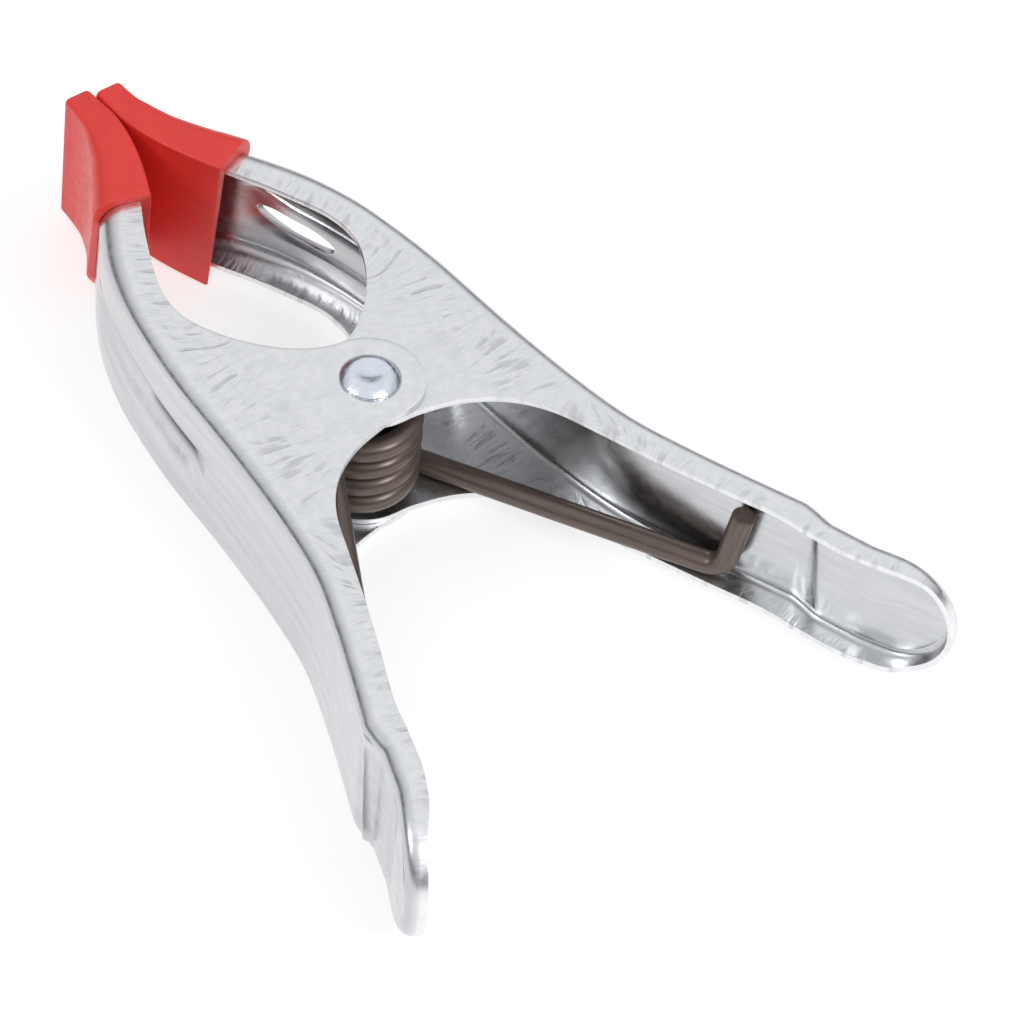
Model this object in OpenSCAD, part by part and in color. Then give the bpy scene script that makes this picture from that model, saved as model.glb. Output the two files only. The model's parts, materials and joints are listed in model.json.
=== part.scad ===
// Spring clamp: two stamped sheet-steel levers on one rivet, pushed apart by a torsion spring,
// with a plastic cap on each jaw. It lies on its side: X runs from the jaws to the handles along
// the mirror line between the two levers, Y across them, and Z is the pivot axis.
// The origin is at the middle of the clamp's footprint, level with its lowest point.

/* [Levers] */
// Width of the outer lever, over both of its flanges
outer_lever_w = 16.4; // [16:0.1:17]
// Thickness of the sheet steel
sheet_t = 0.65; // [0.5:0.05:0.7]
// Play between the nested ears of the two levers, on each side
nest_gap = 0.05; // [0.03:0.01:0.1]
// Radius of the rounded ears around the rivet
ear_r = 5.8; // [5.4:0.1:6.2]
// Height of the rim round the spoon-shaped handle end
rim_h = 2.2; // [1:0.1:3]
// Angle at which the handle end flares away from the mirror line
end_flare = 28; // [26:1:30]
// Length of the eye-shaped slot in the back of each jaw
slot_l = 8.5; // [6:0.5:10]
// Width of that slot at its middle
slot_w = 2.4; // [1:0.1:3]

/* [Rivet] */
// Radius of the shank
shank_r = 2.2; // [1.8:0.1:2.6]
// Running clearance between the shank and the inner lever's holes
shank_play = 0.05; // [0.02:0.01:0.1]
// Radius of both heads
head_r = 3.2; // [2.8:0.1:4]
// Height of both heads above the outer lever
head_h = 1; // [0.6:0.1:1.4]
// Height of the heads' outer edge
head_edge_h = 0.2; // [0.1:0.05:0.4]
// Radius of the dimple in the middle of each head
dimple_r = 1.3; // [0.8:0.1:1.6]
// Depth of that dimple
dimple_depth = 0.35; // [0.1:0.05:0.5]

/* [Spring] */
// Diameter of the wire
wire_d = 2.52; // [1.8:0.02:2.52]
// Mean radius of the coil
coil_r = 4.8; // [4.4:0.1:5]
// Play between the coil and the inner lever's ears, on each side
coil_play = 0.12; // [0.1:0.01:0.2]
// Whole turns in the coil, on top of the part turn that sets the legs apart
coil_turns = 4; // [3:1:4]
// Direction of each leg, away from the mirror line
leg_angle = 29.2; // [28:0.1:29.4]
// Distance from the coil's axis to the hook, along the leg
leg_l = 39; // [30:0.5:39.5]
// Inner bend radius of the hook
hook_bend_r = 1.2; // [0.8:0.1:2]
// Height of the hook's end past the middle of the clamp
hook_past_middle = 3; // [0:0.5:4]

/* [Jaw caps] */
// Width of each cap, along the pivot axis
cap_w = 18.2; // [17.2:0.1:18.4]
// Thickness of the cap on the back of the jaw
cap_wall = 0.85; // [0.75:0.05:1.2]
// How much further the inner lever's cap is pushed on than the outer lever's
inner_cap_push = 0.8; // [0:0.1:0.9]

/* [Hidden] */
$fn = 96;

steel = [0.80, 0.81, 0.83];
rivet_steel = [0.74, 0.77, 0.81];
spring_steel = [0.26, 0.21, 0.18];
red = [0.80, 0.14, 0.12];

outer_half = outer_lever_w / 2;
inner_half = outer_half - sheet_t - nest_gap;
spring_room = inner_half - sheet_t;
curve_steps = 5;
beyond = 60;

// Outline of one lever in the X-Y plane, with the pivot at [0, 0] and the lever on the +Y side.
// The back is the outside of the channel's web, from the jaw tip to the handle end.
handle_tip = [54.8, 35];
jaw_back = [
    [-49.2, 2.3], [-45.2, 3.1], [-42, 4.6], [-39.4, 6.4], [-36.4, 8.4], [-32.8, 10.8],
    [-28.8, 12.9], [-24.2, 14.5], [-19, 15.7], [-11, 16.9], [0, 17.7], [10, 18.8], [18, 20.3],
    [25, 22.8], [31, 25.3], [37.4, 28.1]
];
handle_back = [[39.1, 28.3], [41, 28.4], [45.6, 30.1], handle_tip];
// The mouth edge is the free edge of both flanges between the jaw tip and the ear.
mouth_edge = [
    [-49.2, 1.05], [-45.5, 1.15], [-41.5, 1.9], [-38.5, 2.9], [-35.8, 4.1], [-33.2, 5.4],
    [-30.2, 7.1], [-26.5, 8.9], [-22.5, 10.6], [-19.2, 11.1], [-16.2, 10.6], [-12.4, 8.6],
    [-9, 5.7], [-6.8, 2.7], [-ear_r, 0]
];
// The grip edge is the free edge of both flanges between the ear and the handle end.
grip_edge = [
    [ear_r, 0], [6, 2.6], [7.2, 7], [9.6, 10.9], [13.2, 13.8], [18.4, 16], [24, 18.2], [31, 21.2],
    [36.8, 23.8], [41, 25.1], [45.6, 26.7], [49.6, 28.8]
];

// Face of the cap that grips, and the back of the cap, from its tip to its open end.
cap_face = [
    [-50.4, 0.08], [-46.2, 0.08], [-43.6, 0.35], [-41, 0.95], [-38.3, 1.85], [-35.8, 2.9],
    [-33.2, 4.1]
];
cap_back_tip = [[-50.4, 3.3], [-48, 3.4]];
cap_back_end = [-35.2, 10.1];
// The lower corner of the open end is cut off at a slant, up to this height.
cap_cut_z = 1;
cap_cut_slope = 28;
cap_cut_turn = 20;

slot_middle = [-27.7, 13.2];
slot_angle = 24;

// Where the part stands in its own frame
end_reach = rim_h * sin(end_flare);
front_x = cap_face[0][0];
rear_x = handle_tip[0] + end_reach;
stand_h = outer_half + head_h;

// Smooth curve through points (Catmull-Rom)
function curve_point(a, b, c, d, t) =
    0.5 * (2 * b + (c - a) * t + (2 * a - 5 * b + 4 * c - d) * t * t + (3 * b - a - 3 * c + d) * t * t * t);
function curve(p) = [
    for (i = [0:len(p) - 2]) for (s = [0:curve_steps - 1])
        curve_point(p[max(i - 1, 0)], p[i], p[i + 1], p[min(i + 2, len(p) - 1)], s / curve_steps),
    p[len(p) - 1]
];
function backwards(p) = [for (i = [len(p) - 1:-1:0]) p[i]];
function unit(v) = v / norm(v);
function tangent(p, i) = unit(p[min(i + 1, len(p) - 1)] - p[max(i - 1, 0)]);
// Points moved sideways by d, to the right of the direction of travel
function shifted(p, d) = [for (i = [0:len(p) - 1]) p[i] + d * [tangent(p, i)[1], -tangent(p, i)[0]]];

back = concat(curve(jaw_back), handle_back);

module ear_and_flange_outline() {
    polygon(concat(back, backwards(curve(grip_edge)), backwards(curve(mouth_edge))));
    circle(r = ear_r);
}

module web_outline() {
    polygon(concat(back, backwards(shifted(back, sheet_t))));
}

// Stands at the middle of the round handle end, with X along the handle and Y out of its back
module at_handle_end(half) {
    translate([handle_tip[0] - half * cos(end_flare), handle_tip[1] - half * sin(end_flare), 0])
        rotate([0, 0, end_flare])
            children();
}

module handle_end_limit(half) {
    at_handle_end(half) {
        translate([-3 * beyond, -beyond, -beyond])
            cube([3 * beyond, 2 * beyond, 2 * beyond]);
        rotate([90, 0, 0])
            cylinder(r = half, h = 2 * beyond, center = true);
    }
}

module handle_end_rim(half) {
    at_handle_end(half)
        intersection() {
            rotate([90, 0, 0])
                difference() {
                    cylinder(r = half, h = rim_h);
                    translate([0, 0, -1])
                        cylinder(r = half - sheet_t, h = rim_h + 2);
                }
            translate([0, -beyond, -beyond])
                cube(2 * beyond);
        }
}

module jaw_slot() {
    circle_r = (slot_l * slot_l + slot_w * slot_w) / (4 * slot_w);
    translate([slot_middle[0], slot_middle[1], 0])
        rotate([90, 0, slot_angle])
            linear_extrude(6, center = true)
                intersection() {
                    translate([0, circle_r - slot_w / 2])
                        circle(r = circle_r);
                    translate([0, slot_w / 2 - circle_r])
                        circle(r = circle_r);
                }
}

// A lever whose flanges lie half away from the middle, on the +Y side
module lever(half, hole_r) {
    difference() {
        intersection() {
            union() {
                for (side = [-1, 1])
                    translate([0, 0, side * (half - sheet_t / 2)])
                        linear_extrude(sheet_t, center = true)
                            ear_and_flange_outline();
                linear_extrude(2 * half, center = true)
                    web_outline();
            }
            handle_end_limit(half);
        }
        cylinder(r = hole_r, h = 3 * half, center = true);
        jaw_slot();
    }
    handle_end_rim(half);
}

module jaw_cap(lever_half, push) {
    tip_and_face = [for (p = concat(backwards(cap_face), cap_back_tip)) p + [push, 0]];
    on_jaw_back = [
        for (p = shifted(curve(jaw_back), -cap_wall)) if (p[0] > -46 && p[0] < cap_back_end[0] - 0.5) p
    ];
    difference() {
        linear_extrude(cap_w, center = true)
            polygon(concat(tip_and_face, on_jaw_back, [cap_back_end]));
        linear_extrude(2 * lever_half, center = true)
            ear_and_flange_outline();
        translate([cap_back_end[0], cap_back_end[1], cap_cut_z])
            rotate([-cap_cut_slope, 0, -cap_cut_turn])
                translate([-beyond, 0, -beyond])
                    cube(2 * beyond);
    }
}

// Centre line of the spring wire, in the clamp's own axes
coil_rise = 2 * (spring_room - coil_play) - wire_d;
wind_angle = 360 * coil_turns + 180 - 2 * leg_angle;
coil_start = 90 + leg_angle;
coil_rings = 22 * coil_turns + 8;
leg_z = -coil_rise / 2;
hook_r = hook_bend_r + wire_d / 2;
hook_lean = 10;
// The legs pull the coil off the rivet's axis, as far as its shank lets them.
coil_off = [0.65, -0.8, 0];

function leg_point(s, z, off) =
    [s * cos(leg_angle) - coil_r * sin(leg_angle), s * sin(leg_angle) + coil_r * cos(leg_angle), z]
    + max(1 - s / leg_l, 0) * off;
function leg_and_hook(off) = concat(
    [leg_point(leg_l + (hook_past_middle - leg_z - hook_r) * tan(hook_lean), hook_past_middle, off)],
    [for (a = [80:-16:0]) leg_point(leg_l - hook_r + hook_r * sin(a), leg_z + hook_r * (1 - cos(a)), off)],
    [for (k = [3:-1:1]) leg_point((leg_l - hook_r) * k / 4, leg_z, off)]
);
function turned_over(p) = [for (q = backwards(p)) [q[0], -q[1], -q[2]]];
coil_path = [
    for (i = [0:coil_rings])
        let (a = coil_start + i / coil_rings * wind_angle)
            [coil_r * cos(a), coil_r * sin(a), leg_z + coil_rise * i / coil_rings] + coil_off
];
inner_leg = leg_and_hook(coil_off);
outer_leg = turned_over(leg_and_hook([coil_off[0], -coil_off[1], 0]));
wire_path = concat(inner_leg, coil_path, outer_leg);

// A round bar along points, its rings kept from twisting
module bar_along(p, r, sides = 10) {
    last = len(p) - 1;
    start = unit(cross(tangent(p, 0), [0, 1, 0]));
    across = [
        for (i = 0, n = start; i <= last; n = i < last ? upright(n, tangent(p, i + 1)) : n, i = i + 1) n
    ];
    rings = [
        for (i = [0:last]) for (k = [0:sides - 1])
            let (a = 360 * k / sides, t = tangent(p, i))
                p[i] + r * (cos(a) * across[i] + sin(a) * cross(t, across[i]))
    ];
    walls = [
        for (i = [0:last - 1]) for (k = [0:sides - 1])
            let (m = (k + 1) % sides)
                [i * sides + k, (i + 1) * sides + k, (i + 1) * sides + m, i * sides + m]
    ];
    polyhedron(rings, concat(
        walls,
        [[for (k = [0:sides - 1]) k]],
        [[for (k = [sides - 1:-1:0]) last * sides + k]]
    ));
}
function upright(n, t) = unit(n - (n * t) * t);

module in_place() {
    translate([-(front_x + rear_x) / 2, 0, stand_h])
        children();
}

module outer_lever() {
    color(steel) in_place() mirror([0, 1, 0]) lever(outer_half, shank_r);
}

module inner_lever() {
    color(steel) in_place() lever(inner_half, shank_r + shank_play);
}

module outer_jaw_cap() {
    color(red) in_place() mirror([0, 1, 0]) jaw_cap(outer_half, 0);
}

module inner_jaw_cap() {
    color(red) in_place() jaw_cap(inner_half, inner_cap_push);
}

module rivet_head() {
    crown_z = (pow(dimple_r, 2) + pow(head_h, 2) - pow(head_r, 2) - pow(head_edge_h, 2))
        / (2 * (head_h - head_edge_h));
    dimple_ball_r = (pow(dimple_r, 2) + pow(dimple_depth, 2)) / (2 * dimple_depth);
    difference() {
        intersection() {
            cylinder(r = head_r, h = 2 * head_h);
            translate([0, 0, crown_z])
                sphere(r = norm([dimple_r, head_h - crown_z]));
        }
        translate([0, 0, head_h - dimple_depth + dimple_ball_r])
            sphere(r = dimple_ball_r);
    }
}

module pivot_rivet() {
    color(rivet_steel)
        in_place() {
            cylinder(r = shank_r, h = 2 * outer_half, center = true);
            for (side = [0, 180])
                rotate([side, 0, 0])
                    translate([0, 0, outer_half])
                        rivet_head();
        }
}

module torsion_spring() {
    color(spring_steel) in_place() bar_along(wire_path, wire_d / 2);
}

outer_lever();
inner_lever();
outer_jaw_cap();
inner_jaw_cap();
pivot_rivet();
torsion_spring();
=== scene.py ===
"""The looks of a small stamped-steel spring clamp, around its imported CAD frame.

Lengths are millimetres in the clamp's own axes: the pivot is the origin, X runs from the jaws to the
handles, Z is the pivot axis, and a lever is drawn on the +Y side. side = -1 mirrors it to -Y.
"""

import json
import math

import bmesh
import bpy
import numpy as np
from mathutils import Matrix, Vector


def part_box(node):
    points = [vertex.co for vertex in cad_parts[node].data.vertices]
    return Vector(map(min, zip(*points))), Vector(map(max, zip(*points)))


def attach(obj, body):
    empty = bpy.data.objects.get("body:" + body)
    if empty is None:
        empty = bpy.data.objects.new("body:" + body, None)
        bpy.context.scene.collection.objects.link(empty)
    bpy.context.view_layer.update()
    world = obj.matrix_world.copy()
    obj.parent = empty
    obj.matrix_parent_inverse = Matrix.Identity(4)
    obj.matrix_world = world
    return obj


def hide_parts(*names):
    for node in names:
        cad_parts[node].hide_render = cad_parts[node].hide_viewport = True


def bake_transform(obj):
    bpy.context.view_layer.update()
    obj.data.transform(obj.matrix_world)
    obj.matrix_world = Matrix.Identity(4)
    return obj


MM = 0.001
INNER_SIDE, OUTER_SIDE = 1, -1

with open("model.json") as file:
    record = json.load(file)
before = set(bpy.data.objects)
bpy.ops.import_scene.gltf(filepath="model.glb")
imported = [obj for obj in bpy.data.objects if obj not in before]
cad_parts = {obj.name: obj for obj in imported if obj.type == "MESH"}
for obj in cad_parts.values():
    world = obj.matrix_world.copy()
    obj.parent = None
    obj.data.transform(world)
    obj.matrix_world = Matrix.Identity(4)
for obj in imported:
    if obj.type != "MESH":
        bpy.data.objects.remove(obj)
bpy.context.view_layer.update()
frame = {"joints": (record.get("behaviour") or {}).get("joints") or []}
pivot = np.array(frame["joints"][0]["pos_m"])


def half_width(node):
    low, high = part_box(node)
    return (high.z - low.z) / 2 / MM


# ---------------------------------------------------------------- sizes

SHEET = 0.65
CUT_EDGE = 0.15
# The bends' outside radius, its most towards the jaw tip, and its least on a narrow flange.
BEND, JAW_BEND, LEAST_BEND = 1.45, 2.2, 0.78
BEND_LENGTH = BEND * math.pi / 2
EAR = 5.8
HANDLE_TIP = (54.8, 35)
# Height of the rim where the round spoon end starts, and at its tip.
RIM_START, RIM = 3.0, 2.2
# The bead pressed along the jaw's web, the eye-shaped slot in it and the crease across the handle.
BEAD_HALF, BEAD_WALL, BEAD_DEPTH = 2.5, 0.35, 1.4
SLOT_X, SLOT_HALF_LENGTH, SLOT_HALF_WIDTH = -28.3, 4.9, 1.25
CREASE_X, CREASE_LEAN = 39.2, 0.1
OUTER_HALF = half_width("outer_lever")
INNER_HALF = half_width("inner_lever")
CAP_HALF = half_width("outer_jaw_cap")
STAND = half_width("pivot_rivet")
rivet_low, rivet_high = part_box("pivot_rivet")
RIVET_HEAD = (rivet_high.x - rivet_low.x) / 2 / MM

# The web's outside, from the jaw tip to the handle end.
JAW_BACK = [
    (-49.2, 2.3), (-45.2, 3.1), (-42, 4.6), (-39.4, 6.4), (-36.4, 8.4), (-32.8, 10.8), (-28.8, 12.9),
    (-24.2, 14.5), (-19, 15.7), (-11, 16.9), (0, 17.7), (10, 18.8), (18, 20.3), (25, 22.8), (31, 25.3),
    (37.4, 28.1),
]
HANDLE_BACK = [(39.1, 28.3), (41, 28.4), (45.6, 30.1), HANDLE_TIP]
# The free edge of both flanges, on either side of the ear.
MOUTH_EDGE = [
    (-49.2, 1.05), (-45.5, 1.15), (-41.5, 1.9), (-38.5, 2.9), (-35.8, 4.1), (-33.2, 5.4), (-30.2, 7.1),
    (-26.5, 8.9), (-22.5, 10.6), (-19.2, 11.1), (-16.2, 10.6), (-12.4, 8.6), (-9, 5.7), (-6.8, 2.7),
    (-EAR, 0),
]
GRIP_EDGE = [
    (EAR, 0), (6, 2.6), (7.2, 7), (9.6, 10.9), (13.2, 13.8), (18.4, 16), (24, 18.2), (31, 21.2),
    (36.8, 23.8), (41, 25.1), (45.6, 26.7), (49.6, 28.8),
]
# Lines across a flange, from its bend to its free edge, that the mesh follows.
ACROSS_FLANGE = [
    ((-49.2, 2.3), (-49.2, 1.05)), ((-42, 4.6), (-40.6, 2.2)), ((-35.6, 8.9), (-33.2, 5.4)),
    ((-29, 12.8), (-27, 8.7)), ((-21.5, 15.2), (-19.6, 11.1)), ((-16.2, 16.2), (-13.6, 9.4)),
    ((-5.1, 17.4), (-8.4, 5)), ((-2.2, 17.5), (-EAR, 0)), ((-1.3, 17.6), (0, -EAR)),
    ((0.5, 17.7), (EAR, 0)), ((7.5, 18.5), (7.2, 7)), ((11.7, 19.1), (13.2, 13.8)),
    ((14.4, 19.6), (18.9, 16.2)), ((25, 22.8), (26.3, 19.2)), ((37.4, 28.1), (38.6, 24.3)),
    ((41, 28.4), (41.6, 25.3)),
]
# How far from the free edge those lines turn square to it.
SQUARE_ON = 1.5
# Mesh columns from the jaw tip to the spoon end, and rows over the web.
COLUMNS, ROWS = 320, 44

# A cap's gripping face and its back, from the closed tip to the open end.
CAP_FACE = [
    (-50.4, 0.08), (-46.2, 0.08), (-43.6, 0.35), (-41, 0.95), (-38.3, 1.85), (-35.8, 2.9), (-33.2, 4.1),
]
CAP_BACK = [
    (-50.4, 3.3), (-48, 3.4), (-45.5, 3.9), (-42.5, 5.3), (-39.9, 7.1), (-36.9, 9.1), (-35.2, 10.1),
]
# The lower corner of a cap's open end is cut off at a slant.
CAP_CUT_FROM = (-35.2, 10.1, 1)
CAP_CUT_SLOPE, CAP_CUT_TURN = 28, 20
# The caps widen towards their open end, and their corners' radii change on the way.
CAP_TIP_HALF = 8.3
CAP_BACK_R, CAP_FACE_R = (0.65, 2.55), (0.7, 0.35)
CAP_TIP_SOFT, CAP_MOUTH_EDGE = 0.45, 0.1
# How much further on the inner lever's cap has its tip and gripping face.
INNER_CAP_PUSH = 0.8

# The shank's radius, the height of a head's rim, and the dimple in its middle.
RIVET_SHANK, RIVET_EDGE = 2.2, 0.22
DIMPLE_R, DIMPLE_DEPTH = 1.9, 0.34

WIRE = 2.52
WIRE_END_SOFT = 0.2
# The coil's radius to the wire's middle, its turns, and its play between the inner lever's ears.
COIL, TURNS, COIL_PLAY = 4.8, 4, 0.12
COIL_RISE = 2 * (INNER_HALF - SHEET - COIL_PLAY) - WIRE
# The legs pull the coil off the pivot.
COIL_OFF = (0.65, -0.8)
# The legs' length up to the hook, and their lean from X.
LEG, LEG_LEAN = 39, math.radians(29.2)
# The hook's inside radius, how far it turns, how far past the middle it ends and its lean in degrees.
HOOK_BEND, HOOK_TURN, HOOK_PAST_MIDDLE, HOOK_LEAN = 1.2, 80, 3, 10

# ---------------------------------------------------------------- curves and meshes


def smooth(points, steps=10):
    """A Catmull-Rom curve through points."""
    p = np.array(points, float)
    p = np.vstack([p[:1], p, p[-1:]])
    t = np.linspace(0, 1, steps, endpoint=False)[:, None]
    parts = [
        0.5 * (2 * b + (c - a) * t + (2 * a - 5 * b + 4 * c - d) * t**2 + (3 * b - a - 3 * c + d) * t**3)
        for a, b, c, d in zip(p, p[1:], p[2:], p[3:])
    ]
    return np.vstack([*parts, p[-1:]])


class Line:
    """A polyline measured by the length along it."""

    def __init__(self, points):
        self.points = np.array(points, float)
        steps = np.linalg.norm(np.diff(self.points, axis=0), axis=1)
        self.lengths = np.r_[0, np.cumsum(steps)]
        self.length = self.lengths[-1]

    def at(self, s):
        return np.stack([np.interp(s, self.lengths, c) for c in self.points.T], axis=-1)

    def nearest(self, point):
        return self.lengths[np.argmin(np.linalg.norm(self.points - point, axis=1))]

    def evened(self, spacing, blur):
        """The same line with even steps, its corners rounded over a few blur lengths."""
        count = int(self.length / spacing)
        s = np.linspace(0, self.length, count + 1)
        p = self.at(s)
        reach = int(3 * blur / spacing)
        kernel = np.exp(-0.5 * (np.arange(-reach, reach + 1) * spacing / blur) ** 2)
        kernel /= kernel.sum()
        before = 2 * p[0] - p[reach:0:-1]
        after = 2 * p[-1] - p[-2 : -reach - 2 : -1]
        padded = np.vstack([before, p, after])
        return Line(np.stack([np.convolve(c, kernel, "valid") for c in padded.T], axis=-1))


def left_normal(line, s, step=0.15):
    """The unit normal to the left of the line's direction."""
    d = line.at(np.minimum(s + step, line.length)) - line.at(np.maximum(s - step, 0))
    d = d / np.linalg.norm(d, axis=-1, keepdims=True)
    return np.stack([-d[..., 1], d[..., 0]], axis=-1)


def smoothstep(x, a, b):
    """0 on a's side, 1 on b's and smooth between them."""
    t = np.clip((x - a) / (b - a), 0, 1)
    return t * t * (3 - 2 * t)


def bump_between(x, a, b, ramp):
    """1 between a and b, falling smoothly to 0 over ramp outside them."""
    return smoothstep(x, a - ramp, a) * (1 - smoothstep(x, b, b + ramp))


def bell(x, middle, width):
    """1 at the middle, falling to about a third at width to either side of it."""
    return np.exp(-(((x - middle) / width) ** 2))


def between(a, b, share):
    return a + (b - a) * share


class Mesh:
    """Vertices and faces gathered from grids, then welded into one object."""

    def __init__(self, *marks):
        self.verts, self.faces = [], []
        self.marks = {m: [] for m in marks}
        self.count = 0

    def grid(self, points, closed=False, **marks):
        """Quads over a grid of points, [rows, columns, 3]."""
        points = np.asarray(points, float)
        rows, cols = points.shape[:2]
        ids = self.count + np.arange(rows * cols).reshape(rows, cols)
        self.verts.append(points.reshape(-1, 3))
        self.count += rows * cols
        for name, values in self.marks.items():
            given = marks.get(name, 0)
            values.append(np.broadcast_to(given, (rows, cols)).reshape(-1))
        if closed:
            ids = np.hstack([ids, ids[:, :1]])
        corners = [ids[:-1, :-1], ids[1:, :-1], ids[1:, 1:], ids[:-1, 1:]]
        self.faces.append(np.stack(corners, axis=-1).reshape(-1, 4))

    def fan(self, ring):
        """A flat end to a ring of points: quads that narrow to its middle."""
        self.grid(np.stack([ring, np.tile(ring.mean(0), (len(ring), 1))]), closed=True)

    def build(self, name, side=1, weld=0.004):
        """The object in the world's metres, with its seams welded."""
        co = np.vstack(self.verts) * [1, side, 1] * MM + pivot
        me = bpy.data.meshes.new(name)
        me.from_pydata(co.tolist(), [], np.vstack(self.faces).tolist())
        for mark, values in self.marks.items():
            a = me.attributes.new(mark, "FLOAT", "POINT")
            a.data.foreach_set("value", np.concatenate(values).astype(np.float32))
        bm = bmesh.new()
        bm.from_mesh(me)
        bmesh.ops.remove_doubles(bm, verts=bm.verts, dist=weld * MM)
        bmesh.ops.recalc_face_normals(bm, faces=bm.faces)
        bm.to_mesh(me)
        bm.free()
        me.shade_smooth()
        ob = bpy.data.objects.new(name, me)
        bpy.context.scene.collection.objects.link(ob)
        return ob


def flip_unless(ob, point, direction):
    """Turns the faces over unless the one nearest the world point looks along the direction."""
    face = min(ob.data.polygons, key=lambda f: (f.center - Vector(point)).length)
    if face.normal.dot(Vector(direction)) < 0:
        ob.data.flip_normals()


def apply_modifiers(ob):
    evaluated = ob.evaluated_get(bpy.context.evaluated_depsgraph_get())
    me = bpy.data.meshes.new_from_object(evaluated)
    ob.modifiers.clear()
    ob.data = me


def soften_edges(ob, width):
    """Bevels the sharp edges and evens the shading beside them."""
    bevel = ob.modifiers.new("soft_edges", "BEVEL")
    bevel.width = width * MM
    bevel.segments = 2
    bevel.limit_method = "ANGLE"
    bevel.angle_limit = math.radians(50)
    even = ob.modifiers.new("even_shading", "WEIGHTED_NORMAL")
    even.keep_sharp = True


def world_point(x, y, z, side=1):
    return pivot + np.array([x, side * y, z]) * MM


# ---------------------------------------------------------------- levers

back_line = Line(np.vstack([smooth(JAW_BACK), HANDLE_BACK])).evened(0.1, 0.3)
ear_arc = [(EAR * math.cos(a), EAR * math.sin(a)) for a in np.linspace(math.pi, 2 * math.pi, 40)]
edge_line = Line(np.vstack([smooth(MOUTH_EDGE), ear_arc[1:-1], smooth(GRIP_EDGE)]))


def rim_height(share):
    """Height of the rim from the web, from the start of the spoon end at 0 to its tip at 1."""
    return between(RIM_START, RIM, smoothstep(share, 0, 0.45))


def slot_half_width(x):
    """Half the opening of the eye-shaped slot in the jaw's web."""
    return SLOT_HALF_WIDTH * np.sqrt(np.clip(1 - ((x - SLOT_X) / SLOT_HALF_LENGTH) ** 2, 0, None))


def bend_limit(x):
    """The bends' outside radius, which may be larger where the jaw narrows."""
    return between(BEND, JAW_BEND, smoothstep(x, -20, -33))


def crease_x(z):
    return CREASE_X - CREASE_LEAN * z


def web_depth(x, z):
    """How far the web is pressed in from its flat shape."""
    along_bead = smoothstep(x, -35, -28) * (1 - smoothstep(x, -9, -3))
    upper_wall = 1 - smoothstep(z, BEAD_HALF - BEAD_WALL, BEAD_HALF)
    lower_slope = smoothstep(z, -4.2, -0.6)
    crease = bell(x, crease_x(z), 0.5) * (0.75 - 0.04 * z)
    ridge = bell(x, 46.2, 0.9) * (1 - smoothstep(np.abs(z), 4, 6.5))
    dish = smoothstep(x, 46.5, 49.5) * (1 - smoothstep(x, 50, 53.5)) * (1 - smoothstep(np.abs(z), 1.5, 6.2))
    return BEAD_DEPTH * along_bead * upper_wall * lower_slope - 0.5 * crease + 0.3 * ridge - 0.25 * dish


def dark_folds(x, z):
    """Up to 1 where painted shade darkens the plating: along the bead's sharp lip, in the slit beneath it
    and in the crease.
    """
    lip = bell(z, BEAD_HALF - BEAD_WALL, 0.4) * bump_between(x, -24, -8, 5)
    beneath = bell(z, -0.3, 0.75) * bump_between(x, -16, -8.5, 2.5)
    crease = bell(x, crease_x(z), 0.42 - 0.03 * z) * (1 - smoothstep(np.abs(z), 4.5, 6.2))
    return np.clip(0.85 * lip + 1.2 * beneath + 0.7 * crease, 0, 1)


class LeverColumns:
    """The mesh columns of a lever, from its jaw tip to the start of its round spoon end."""

    def __init__(self, half):
        self.half = half
        self.spoon_s = back_line.length - half
        end = np.array([self.spoon_s])
        spoon_edge = (back_line.at(end) - left_normal(back_line, end) * rim_height(0))[0]
        knots_back = [back_line.nearest(b) for b, _ in ACROSS_FLANGE] + [self.spoon_s]
        knots_edge = [edge_line.nearest(e) for _, e in ACROSS_FLANGE] + [edge_line.nearest(spoon_edge)]
        # The columns are spread evenly over the lengths of the web and of the free edge together.
        fine_s = np.linspace(0, self.spoon_s, 4000)
        both = fine_s + np.interp(fine_s, knots_back, knots_edge)
        self.s = np.interp(np.linspace(both[0], both[-1], COLUMNS + 1), both, fine_s)
        self.base = back_line.at(self.s)
        self.out = left_normal(back_line, self.s)
        self.ahead = np.array([self.out[-1][1], -self.out[-1][0]])
        edge_s = np.interp(self.s, knots_back, knots_edge)
        self.edge = edge_line.at(edge_s)
        self.edge_inward = left_normal(edge_line, edge_s)
        flange_reach = np.linalg.norm(self.edge - self.base, axis=1)
        self.bend_r = np.clip(0.6 * flange_reach, LEAST_BEND, bend_limit(self.base[:, 0]))
        self.web_half = half - self.bend_r


def add_web(mesh, columns):
    """The web, in an upper and a lower part that meet at the middle and part at the slot."""
    x, half = columns.base[:, :1], columns.web_half[:, None]
    t = np.linspace(0, 1, ROWS // 2 + 1)
    # The rows are close together on the walls of the bead, and even beyond it.
    slot = slot_half_width(x)
    inner, outer = BEAD_HALF - BEAD_WALL, BEAD_HALF + 0.25
    stage = np.interp(t, (0, 0.16, 0.2, 0.66, 1), (0, 0.8, 1, 2, 3))
    z_bead = np.where(
        stage < 1, between(slot, inner, stage),
        np.where(stage < 2, between(inner, outer, stage - 1), between(outer, half, stage - 2)),
    )
    into_spoon = smoothstep(columns.s, columns.spoon_s - 12, columns.spoon_s)[:, None]
    z_even = half * between(t, np.sin(t * math.pi / 2), into_spoon)
    z_up = between(z_bead, z_even, smoothstep(x, -2, 8))
    for z in (z_up, -z_up):
        flat = columns.base[:, None] - columns.out[:, None] * web_depth(x, z)[..., None]
        # The web's marks include painted shade for the bead's lip, the slit beneath it and the crease.
        mesh.grid(
            np.dstack([flat, z]), along=columns.s[:, None], across=z_up - half - BEND_LENGTH, web=1,
            fold=dark_folds(x, z),
        )


def spoon_angles():
    return np.linspace(-1, 1, ROWS + 1) * math.pi / 2


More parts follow.
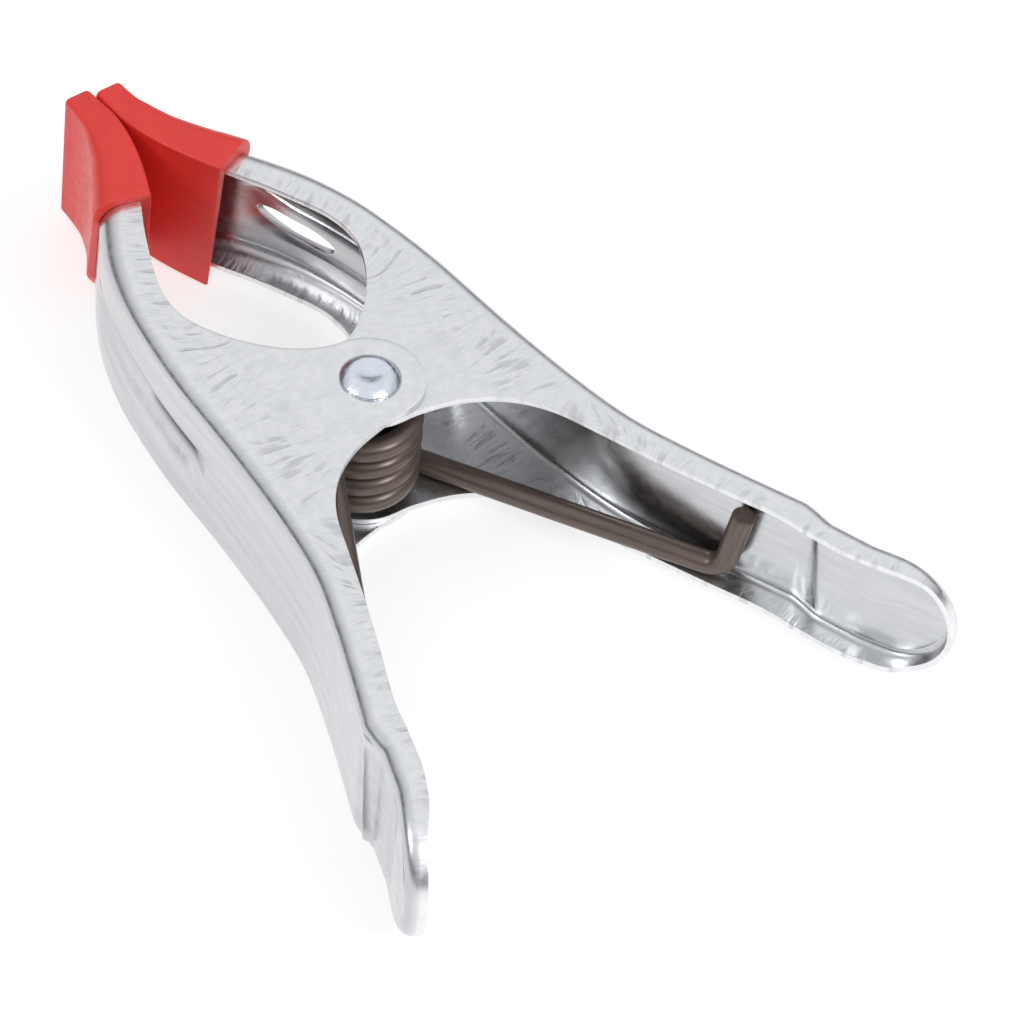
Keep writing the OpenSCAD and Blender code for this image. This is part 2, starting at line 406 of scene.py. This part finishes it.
def add_spoon_end(mesh, columns):
    """Half a disc beyond the last column."""
    angle, half = spoon_angles(), columns.web_half[-1]
    reach = half * np.outer(np.linspace(0, 1, 15), np.cos(angle))
    z = np.broadcast_to(half * np.sin(angle), reach.shape)
    flat = columns.base[-1] + reach[..., None] * columns.ahead
    flat = flat - columns.out[-1] * web_depth(flat[..., 0], z)[..., None]
    mesh.grid(
        np.dstack([flat, z]), along=columns.spoon_s + reach,
        across=np.hypot(reach, z) - half - BEND_LENGTH, web=1,
    )


def add_bends_and_flanges(mesh, columns):
    """Both flanges and the spoon's rim, once round from the lower jaw tip to the upper one."""
    up, upside_down = np.array([0, 0, 1.0]), np.array([1, 1, -1.0])
    count, arc = len(columns.s), spoon_angles()[1:-1]
    out = np.c_[columns.out, np.zeros(count)]
    arc_sideways = np.c_[np.cos(arc)[:, None] * columns.ahead, np.sin(arc)]
    arc_start = np.append(columns.base[-1], 0) + columns.web_half[-1] * arc_sideways
    arc_out = np.tile(out[-1], (len(arc), 1))
    heights = rim_height(1 - np.abs(arc) / (math.pi / 2))[:, None]

    def once_round(side, spoon, lower=1):
        return np.concatenate([side * lower, spoon, side[::-1]])

    starts = once_round(np.c_[columns.base, columns.web_half], arc_start, upside_down)
    sideways = once_round(np.tile(up, (count, 1)), arc_sideways, upside_down)
    outward = once_round(out, arc_out)
    arc_edges = arc_start + arc_sideways * BEND - arc_out * heights
    edges = once_round(np.c_[columns.edge, np.full(count, columns.half)], arc_edges, upside_down)
    inward = once_round(np.c_[columns.edge_inward, np.zeros(count)], arc_out)
    along = once_round(columns.s, columns.spoon_s + (arc + math.pi / 2) * 0.5 * columns.half)
    radii = once_round(columns.bend_r, np.full(len(arc), BEND))[:, None]

    turn = np.linspace(0, math.pi / 2, 8)[:, None, None]
    bend = starts + sideways * radii * np.sin(turn) - outward * radii * (1 - np.cos(turn))
    turned = turn[..., 0] / (math.pi / 2)
    mesh.grid(
        bend, along=along, across=(turned - 1) * BEND_LENGTH, web=1 - turned,
        bend=np.sin(math.pi * turned),
    )

    # Each line across a flange is a Bezier curve that ends square to the free edge.
    flange_start = bend[-1]
    third = (edges - flange_start) / 3
    near_edge = edges + inward * np.minimum(np.linalg.norm(third, axis=1), SQUARE_ON)[:, None]
    v = np.linspace(0, 1, 17)[:, None, None] ** 1.15
    flange = (
        flange_start * (1 - v) ** 3 + (flange_start + third) * 3 * (1 - v) ** 2 * v
        + near_edge * 3 * (1 - v) * v**2 + edges * v**3
    )
    mesh.grid(flange, along=along, across=np.linalg.norm(flange - flange_start, axis=-1), web=0)


def lever(name, half, side):
    """A lever's outside face, thickened inwards to the sheet."""
    columns = LeverColumns(half)
    mesh = Mesh("along", "across", "web", "fold", "bend")
    add_web(mesh, columns)
    add_spoon_end(mesh, columns)
    add_bends_and_flanges(mesh, columns)
    ob = mesh.build(name, side)
    flip_unless(ob, world_point(10, 19, 0, side), (0, side, 0))
    thick = ob.modifiers.new("thickness", "SOLIDIFY")
    thick.thickness = SHEET * MM
    thick.offset = -1
    apply_modifiers(ob)
    soften_edges(ob, CUT_EDGE)
    return ob


# ---------------------------------------------------------------- caps


def cap_section(width, half, back_r, face_r, inset=0, steps=6):
    """Points round a cap's cross-section: distance from the gripping face, and height."""
    corners = [
        (width, half, back_r, 0), (0, half, face_r, 90), (0, -half, face_r, 180),
        (width, -half, back_r, 270),
    ]
    ring = []
    for d, z, r, start in corners:
        r = max(r - inset, 0.02)
        cd = d + (-(r + inset) if d > 0 else r + inset)
        cz = z - math.copysign(r + inset, z)
        for a in np.radians(np.linspace(start, start + 90, steps + 1)):
            ring.append((cd + r * math.cos(a), cz + r * math.sin(a)))
    return np.array(ring)


def past_cut(points):
    """How far points lie past the slanted cut across a cap's lower corner."""
    slope, turn = math.radians(CAP_CUT_SLOPE), math.radians(CAP_CUT_TURN)
    removed = (math.sin(turn) * math.cos(slope), math.cos(turn) * math.cos(slope), -math.sin(slope))
    return (points - CAP_CUT_FROM) @ removed


def cut_back(rings):
    """Rings from a cap's closed end to its open one, with each line of points drawn back to the cut."""
    reach = past_cut(rings)
    count = len(rings)
    place = np.arange(count)
    result = np.empty_like(rings)
    for k in range(rings.shape[1]):
        beyond = np.nonzero(reach[:, k] > 0)[0]
        end = place[-1]
        if len(beyond):
            a = beyond[0]
            end = a - reach[a, k] / (reach[a, k] - reach[a - 1, k])
        along = place * end / place[-1]
        for axis in range(3):
            result[:, k, axis] = np.interp(along, place, rings[:, k, axis])
    return result


def jaw_cap(name, lever_half, side, push):
    """A closed tip, the outside, the slanted open end and the pocket that the lever goes into."""
    back_points = smooth(CAP_BACK)
    back_points[:, 0] += push * (1 - smoothstep(back_points[:, 0], -48, -45))
    face, back = Line(smooth(CAP_FACE) + [push, 0]), Line(back_points)
    mesh = Mesh()

    def ring(u, inset, shift=0.0):
        """A ring at the share u of the length, drawn in by inset and moved on by shift."""
        g, b = face.at(u * face.length), back.at(u * back.length)
        width = np.linalg.norm(b - g)
        across = (b - g) / width
        ahead = np.array([across[1], -across[0]])
        back_r = between(*CAP_BACK_R, smoothstep(u, 0.1, 0.8))
        face_r = between(*CAP_FACE_R, smoothstep(u, 0, 0.3))
        section = cap_section(width, between(CAP_TIP_HALF, CAP_HALF, u), back_r, face_r, inset)
        flat = g + section[:, :1] * across + ahead * shift
        return np.c_[flat, section[:, 1]]

    tip = [
        ring(0, CAP_TIP_SOFT * (1 - math.sin(a)), CAP_TIP_SOFT * (1 - math.cos(a)))
        for a in np.radians([0, 22, 45, 67, 90])
    ]
    start = CAP_TIP_SOFT / face.length
    body = cut_back(np.stack([ring(u, 0) for u in np.linspace(start, 1, 48)]))
    mesh.grid(np.stack([*tip[:-1], *body]), closed=True)
    mesh.fan(tip[0])

    # Pocket for the lever: its rim, its walls and its floor
    def pocket_ring(u):
        b = back_line.at(back_line.nearest(back.at(u * back.length)))
        g = edge_line.at(edge_line.nearest(face.at(u * face.length)))
        width = np.linalg.norm(b - g)
        section = cap_section(width, lever_half, min(bend_limit(b[0]), width / 2), 0.05)
        return np.c_[g + section[:, :1] * (b - g) / width, section[:, 1]]

    pocket = cut_back(np.stack([pocket_ring(u) for u in np.linspace(0.08, 1, 30)]))
    mesh.grid(np.stack([body[-1], *pocket[::-1]]), closed=True)
    mesh.fan(pocket[0])
    ob = mesh.build(name, side)
    soften_edges(ob, CAP_MOUTH_EDGE)
    return ob


# ---------------------------------------------------------------- rivet


def rivet(name):
    """The shank and both dimpled heads, turned about Z from one profile."""
    top, fall = STAND, STAND - OUTER_HALF - RIVET_EDGE
    profile = [
        (r, top - DIMPLE_DEPTH * (0.5 + 0.5 * math.cos(math.pi * r / DIMPLE_R)))
        for r in np.linspace(0, DIMPLE_R, 14)
    ]
    profile += [
        (between(DIMPLE_R, RIVET_HEAD, a), top - fall * a**1.75) for a in np.linspace(0, 1, 16)[1:]
    ]
    profile += [(RIVET_HEAD + 0.02, OUTER_HALF + RIVET_EDGE / 2), (RIVET_HEAD - 0.05, OUTER_HALF)]
    profile += [(RIVET_SHANK, OUTER_HALF), (RIVET_SHANK, 0)]
    upper = np.array(profile)
    lower = upper[-2::-1] * [1, -1]
    angle = np.linspace(0, 2 * math.pi, 96, endpoint=False)
    rings = [
        np.c_[r * np.cos(angle), r * np.sin(angle), np.full(len(angle), z)]
        for r, z in np.vstack([upper, lower])
    ]
    mesh = Mesh()
    mesh.grid(np.stack(rings), closed=True)
    return mesh.build(name)


# ---------------------------------------------------------------- spring


def wire(name, path, cut_end):
    """A round wire along path, its rings kept from twisting. cut_end gives the last one a softened face."""
    p = np.array(path, float)
    d = np.gradient(p, axis=0)
    d /= np.linalg.norm(d, axis=1, keepdims=True)
    n = np.cross(d[0], [0, 1, 0])
    rings = []
    for q, t in zip(p, d):
        n = n - (n @ t) * t
        n /= np.linalg.norm(n)
        rings.append((q, n, np.cross(t, n), t))
    sides = 20
    angle = np.linspace(0, 2 * math.pi, sides, endpoint=False)
    radius, closed = WIRE / 2, 0.001

    def circle(k, r, shift=0.0):
        q, a, b, t = rings[k]
        return q + t * shift + r * (np.cos(angle)[:, None] * a + np.sin(angle)[:, None] * b)

    skin = [circle(0, closed)] + [circle(k, radius) for k in range(len(p))]
    if cut_end:
        skin += [
            circle(-1, radius - WIRE_END_SOFT * (1 - math.sin(a)), WIRE_END_SOFT * math.cos(a))
            for a in np.radians([60, 30, 0])
        ]
        skin += [circle(-1, 0.5 * radius, WIRE_END_SOFT), circle(-1, closed, WIRE_END_SOFT)]
    else:
        skin += [circle(-1, closed)]
    lengths = Line(p).lengths
    beyond = len(skin) - len(lengths) - 1
    wire_length = np.r_[0, lengths, np.full(beyond, lengths[-1])]
    mesh = Mesh("wire_length", "wire_turn")
    mesh.grid(
        np.stack(skin), closed=True, wire_length=wire_length[:, None],
        wire_turn=np.abs(np.linspace(-1, 1, sides, endpoint=False)),
    )
    return mesh.build(name)


def coil_path():
    """The turns between the inner lever's ears, from the inner lever's leg to the outer lever's."""
    wind = math.radians(360 * TURNS + 180) - 2 * LEG_LEAN
    share = np.linspace(0, 1, 60 * TURNS)
    a = math.pi / 2 + LEG_LEAN + share * wind
    return np.c_[
        COIL * np.cos(a) + COIL_OFF[0], COIL * np.sin(a) + COIL_OFF[1], COIL_RISE * (share - 0.5)
    ]


def leg_path(coil_off_y):
    """The inner lever's leg and its hook. The coil's offset fades out along it."""
    low, bend = -COIL_RISE / 2, HOOK_BEND + WIRE / 2
    straight = LEG - bend

    def point(s, z):
        pull = max(1 - s / LEG, 0)
        return (
            s * math.cos(LEG_LEAN) - COIL * math.sin(LEG_LEAN) + pull * COIL_OFF[0],
            s * math.sin(LEG_LEAN) + COIL * math.cos(LEG_LEAN) + pull * coil_off_y, z,
        )

    path = [(s, low) for s in np.linspace(0, straight, 24)]
    path += [
        (straight + bend * math.sin(turn), low + bend * (1 - math.cos(turn)))
        for turn in np.radians(np.linspace(0, HOOK_TURN, 10))[1:]
    ]
    s, z = path[-1]
    rise = HOOK_PAST_MIDDLE - z
    path += [
        (s + rise * share * math.tan(math.radians(HOOK_LEAN)), z + rise * share)
        for share in np.linspace(0, 1, 6)[1:]
    ]
    return np.array([point(*place) for place in path])


# ---------------------------------------------------------------- materials


class Nodes:
    """Short ways to add and join shader nodes."""

    def __init__(self, name):
        self.material = bpy.data.materials.new(name)
        self.material.use_nodes = True
        self.tree = self.material.node_tree
        self.shader = self.tree.nodes["Principled BSDF"]

    def add(self, kind, **inputs):
        node = self.tree.nodes.new(kind)
        for key, value in inputs.items():
            self.feed(node.inputs[key.replace("_", " ")], value)
        return node

    def feed(self, socket, value):
        if isinstance(value, bpy.types.NodeSocket):
            self.tree.links.new(value, socket)
        else:
            socket.default_value = value

    def math(self, operation, a, b):
        node = self.tree.nodes.new("ShaderNodeMath")
        node.operation = operation
        self.feed(node.inputs[0], a)
        self.feed(node.inputs[1], b)
        return node.outputs[0]

    def mark(self, name):
        node = self.tree.nodes.new("ShaderNodeAttribute")
        node.attribute_name = name
        return node.outputs["Fac"]

    def place(self):
        """The place on the object in millimetres."""
        where = self.tree.nodes.new("ShaderNodeTexCoord").outputs["Object"]
        node = self.tree.nodes.new("ShaderNodeVectorMath")
        node.operation = "SCALE"
        self.feed(node.inputs[0], where)
        node.inputs["Scale"].default_value = 1 / MM
        return node.outputs[0]

    def noise(self, vector, scale, detail=2.0, roughness=0.5):
        node = self.add(
            "ShaderNodeTexNoise", Vector=vector, Scale=scale, Detail=detail, Roughness=roughness,
        )
        return node.outputs["Fac"]

    def streaks(self, x, x_scale, y, y_scale, detail, roughness=0.5):
        """Noise over two marks, drawn out along the one with the smaller scale."""
        flat = self.add(
            "ShaderNodeCombineXYZ", X=self.math("MULTIPLY", x, x_scale), Y=self.math("MULTIPLY", y, y_scale)
        )
        return self.noise(flat.outputs[0], 1.0, detail, roughness)

    def remap(self, value, low, high, to_low=0.0, to_high=1.0):
        node = self.tree.nodes.new("ShaderNodeMapRange")
        node.interpolation_type = "SMOOTHSTEP"
        names = ("Value", "From Min", "From Max", "To Min", "To Max")
        for key, v in zip(names, (value, low, high, to_low, to_high)):
            self.feed(node.inputs[key], v)
        return node.outputs[0]

    def mix(self, factor, a, b):
        node = self.tree.nodes.new("ShaderNodeMix")
        node.data_type = "RGBA"
        self.feed(node.inputs[0], factor)
        self.feed(node.inputs[6], a)
        self.feed(node.inputs[7], b)
        return node.outputs[2]

    def bump(self, height, strength, distance, under=None):
        node = self.add("ShaderNodeBump", Height=height, Strength=strength, Distance=distance * MM)
        if under is not None:
            self.feed(node.inputs["Normal"], under)
        return node.outputs[0]


def zinc():
    """Bright zinc plating on drawn sheet.

    It has a fine mottle, short draw marks on the flanges beside the bends and long streaks on the web.
    Painted shade makes the web and the bends darker, and the bead's lip, the slit beneath it and the crease
    nearly black.
    """
    m = Nodes("zinc_plating")
    place = m.place()
    along, across, web = m.mark("along"), m.mark("across"), m.mark("web")
    height = m.add("ShaderNodeSeparateXYZ", Vector=place).outputs["Z"]
    mottle = m.noise(place, 0.9, 4, 0.6)
    fine = m.noise(place, 5.0, 3, 0.6)

    strokes = m.streaks(along, 1.05, across, 0.2, 1.5)
    fine_strokes = m.streaks(along, 3.1, across, 0.3, 2)
    patches = m.remap(m.streaks(along, 0.22, across, 0.5, 1), 0.3, 0.5)
    beside_bend = m.math("MULTIPLY", m.remap(across, 0.4, 1.6), m.remap(across, 4.0, 8.5, 1.0, 0.0))
    on_flange = m.remap(web, 0.1, 0.3, 1.0, 0.0)
    where = m.math("MULTIPLY", m.math("MULTIPLY", patches, beside_bend), on_flange)
    deep = m.math("MULTIPLY", m.remap(strokes, 0.5, 0.66), where)
    shallow = m.math("MULTIPLY", m.remap(fine_strokes, 0.5, 0.68), on_flange)
    drawn = m.math("ADD", deep, m.math("MULTIPLY", shallow, 0.26))

    long_streaks = m.streaks(along, 0.06, height, 0.9, 3, 0.6)
    flange_tone = m.mix(m.remap(mottle, 0.35, 0.7), (0.80, 0.81, 0.825, 1), (0.88, 0.885, 0.89, 1))
    # The web's long streaks are its own; its colour being darker than the flanges' is painted shade.
    web_streaks_and_painted_shade = m.mix(m.remap(long_streaks, 0.35, 0.65), (0.57, 0.58, 0.60, 1), (0.63, 0.64, 0.655, 1))
    tone = m.mix(m.remap(web, 0.3, 0.9), flange_tone, web_streaks_and_painted_shade)
    tone = m.mix(m.math("MULTIPLY", drawn, 0.36), tone, (0.36, 0.365, 0.38, 1))
    # Painted shade: the bends are darkened where the sheet turns from flange to web.
    tone = m.mix(m.math("MULTIPLY", m.mark("bend"), 0.6), tone, (0.40, 0.41, 0.43, 1))
    # Painted shade: the bead's lip, the slit beneath it and the crease are darkened nearly to black.
    tone = m.mix(m.mark("fold"), tone, (0.08, 0.082, 0.09, 1))
    m.feed(m.shader.inputs["Base Color"], tone)
    m.shader.inputs["Metallic"].default_value = 1.0
    rough = m.math("ADD", m.remap(mottle, 0.3, 0.7, 0.24, 0.33), m.math("MULTIPLY", fine, 0.06))
    m.feed(m.shader.inputs["Roughness"], m.math("SUBTRACT", rough, m.remap(web, 0.4, 0.9, 0.0, 0.1)))
    grain = m.bump(fine, 0.12, 0.05)
    m.feed(m.shader.inputs["Normal"], m.bump(m.math("SUBTRACT", 1.0, drawn), 0.5, 0.06, grain))
    return m.material


def rivet_steel():
    """Glossier, slightly blue plating, with soft unevenness from the riveting."""
    m = Nodes("rivet_plating")
    place = m.place()
    cloud = m.noise(place, 1.6, 3, 0.55)
    m.feed(m.shader.inputs["Base Color"], m.mix(cloud, (0.66, 0.72, 0.80, 1), (0.82, 0.86, 0.90, 1)))
    m.shader.inputs["Metallic"].default_value = 1.0
    m.feed(m.shader.inputs["Roughness"], m.remap(cloud, 0.3, 0.7, 0.18, 0.28))
    m.feed(m.shader.inputs["Normal"], m.bump(m.noise(place, 1.5, 2), 0.5, 0.12))
    return m.material


def spring_wire():
    """Oil-tempered wire: dark brown, with fine streaks along its length."""
    m = Nodes("tempered_wire")
    length, turn = m.mark("wire_length"), m.mark("wire_turn")
    streaks = m.streaks(length, 0.16, turn, 9.0, 4, 0.6)
    cloud = m.noise(m.place(), 0.5, 3, 0.6)
    brown = m.mix(m.remap(streaks, 0.3, 0.7), (0.10, 0.078, 0.066, 1), (0.155, 0.12, 0.10, 1))
    brown = m.mix(m.math("MULTIPLY", cloud, 0.5), brown, (0.14, 0.10, 0.085, 1))
    m.feed(m.shader.inputs["Base Color"], brown)
    m.shader.inputs["Metallic"].default_value = 0.5
    m.feed(m.shader.inputs["Roughness"], m.remap(streaks, 0.3, 0.7, 0.28, 0.36))
    m.feed(m.shader.inputs["Normal"], m.bump(streaks, 0.08, 0.03))
    return m.material


def red_plastic():
    """Soft moulded plastic: a slightly cloudy red with a fine satin grain."""
    m = Nodes("soft_red_plastic")
    place = m.place()
    cloud = m.noise(place, 0.35, 3, 0.6)
    m.feed(m.shader.inputs["Base Color"], m.mix(cloud, (0.64, 0.026, 0.020, 1), (0.78, 0.045, 0.034, 1)))
    m.feed(m.shader.inputs["Roughness"], m.remap(m.noise(place, 1.1, 2), 0.3, 0.7, 0.34, 0.46))
    m.shader.inputs["Subsurface Weight"].default_value = 0.12
    m.shader.inputs["Subsurface Radius"].default_value = (1.0, 0.25, 0.15)
    m.shader.inputs["Subsurface Scale"].default_value = 0.8 * MM
    m.feed(m.shader.inputs["Normal"], m.bump(m.noise(place, 9.0, 2), 0.1, 0.03))
    return m.material


def floor_paint():
    """White, and bright enough by itself to merge with the background."""
    m = Nodes("floor_paint")
    m.shader.inputs["Base Color"].default_value = (0.42, 0.42, 0.42, 1)
    m.shader.inputs["Roughness"].default_value = 0.7
    m.shader.inputs["Emission Color"].default_value = (1, 1, 1, 1)
    m.shader.inputs["Emission Strength"].default_value = 0.66
    return m.material


# ---------------------------------------------------------------- the clamp

zinc_plating, tempered_wire, red = zinc(), spring_wire(), red_plastic()


def add(ob, material, body, stands_for):
    """Gives a piece its material, the body it rides on and the CAD node it is drawn in place of."""
    ob.data.materials.append(material)
    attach(ob, body)
    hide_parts(stands_for)


SIDES = (("outer", OUTER_SIDE, OUTER_HALF, 0), ("inner", INNER_SIDE, INNER_HALF, INNER_CAP_PUSH))
for which, side, half, _ in SIDES:
    sheet = lever(which + "_lever_sheet", half, side)
    add(sheet, zinc_plating, which + "_side", which + "_lever")
for which, side, half, push in SIDES:
    cap = jaw_cap(which + "_cap_moulding", half, side, push)
    add(cap, red, which + "_side", which + "_jaw_cap")
add(rivet("rivet_body"), rivet_steel(), "outer_side", "pivot_rivet")

# The outer lever's leg is the inner one's turned over about X, with the coil's offset the same way.
legs = {"inner": leg_path(COIL_OFF[1]), "outer": leg_path(-COIL_OFF[1]) * [1, -1, -1]}
for which, path in legs.items():
    leg = wire("spring_leg_" + which, path, True)
    add(leg, tempered_wire, which + "_side", "torsion_spring")
coil = wire("spring_coil", coil_path(), False)
coil.data.materials.append(tempered_wire)
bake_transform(coil)
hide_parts("torsion_spring")

# ---------------------------------------------------------------- floor, light and camera


def floor():
    far = 4.0
    corners = [(-far, -far, 0), (far, -far, 0), (far, far, 0), (-far, far, 0)]
    me = bpy.data.meshes.new("floor")
    me.from_pydata(corners, [], [(0, 1, 2, 3)])
    ob = bpy.data.objects.new("floor", me)
    bpy.context.scene.collection.objects.link(ob)
    me.materials.append(floor_paint())


def softbox(name, direction, distance, size, power):
    """A square area light that looks at the clamp from a direction."""
    light = bpy.data.lights.new(name, "AREA")
    light.size = size
    light.energy = power
    ob = bpy.data.objects.new(name, light)
    bpy.context.scene.collection.objects.link(ob)
    towards = Vector(direction).normalized()
    ob.location = Vector(pivot) + towards * distance
    ob.rotation_euler = towards.to_track_quat("Z", "Y").to_euler()


def surroundings():
    """A room that is bright overhead and dim near the horizon."""
    world = bpy.data.worlds.new("studio")
    world.use_nodes = True
    bpy.context.scene.world = world
    tree = world.node_tree
    where = tree.nodes.new("ShaderNodeTexCoord")
    split = tree.nodes.new("ShaderNodeSeparateXYZ")
    ramp = tree.nodes.new("ShaderNodeValToRGB")
    tree.links.new(where.outputs["Generated"], split.inputs[0])
    tree.links.new(split.outputs["Z"], ramp.inputs["Fac"])
    tree.links.new(ramp.outputs["Color"], tree.nodes["Background"].inputs["Color"])
    stops = ramp.color_ramp
    stops.elements[0].position, stops.elements[0].color = 0.0, (0.10, 0.105, 0.115, 1)
    stops.elements[1].position, stops.elements[1].color = 0.7, (0.97, 0.98, 1.0, 1)
    for height, tone in ((0.22, (0.12, 0.125, 0.135, 1)), (0.42, (0.72, 0.73, 0.75, 1))):
        stops.elements.new(height).color = tone
    tree.nodes["Background"].inputs["Strength"].default_value = 0.92


def camera():
    """A long lens, turned a little about its own axis and aimed beside the pivot."""
    azimuth, elevation, roll = math.radians(49.1), math.radians(47), math.radians(5.8)
    distance, lens = 0.855, 292
    aim_right, aim_down = 15.05, 8.1
    back = Vector((
        math.sin(azimuth) * math.cos(elevation), -math.cos(azimuth) * math.cos(elevation),
        math.sin(elevation),
    ))
    data = bpy.data.cameras.new("camera")
    data.lens = lens
    ob = bpy.data.objects.new("camera", data)
    bpy.context.scene.collection.objects.link(ob)
    turn = back.to_track_quat("Z", "Y").to_matrix().to_3x3()
    right, up = turn.col[0].copy(), turn.col[1].copy()
    c, s = math.cos(roll), math.sin(roll)
    right, up = right * c + up * s, up * c - right * s
    aim = Vector(pivot) + (right * aim_right - up * aim_down) * MM
    place = aim + back * distance
    ob.matrix_world = Matrix.Translation(place) @ Matrix((right, up, back)).transposed().to_4x4()
    bpy.context.scene.camera = ob


floor()
surroundings()
softbox("key", (0.78, 0.10, 0.62), 0.9, 0.25, 2.5)
softbox("fill", (-0.2, -0.8, 0.56), 0.9, 0.25, 1.2)
camera()
bpy.context.scene.view_settings.view_transform = "Standard"
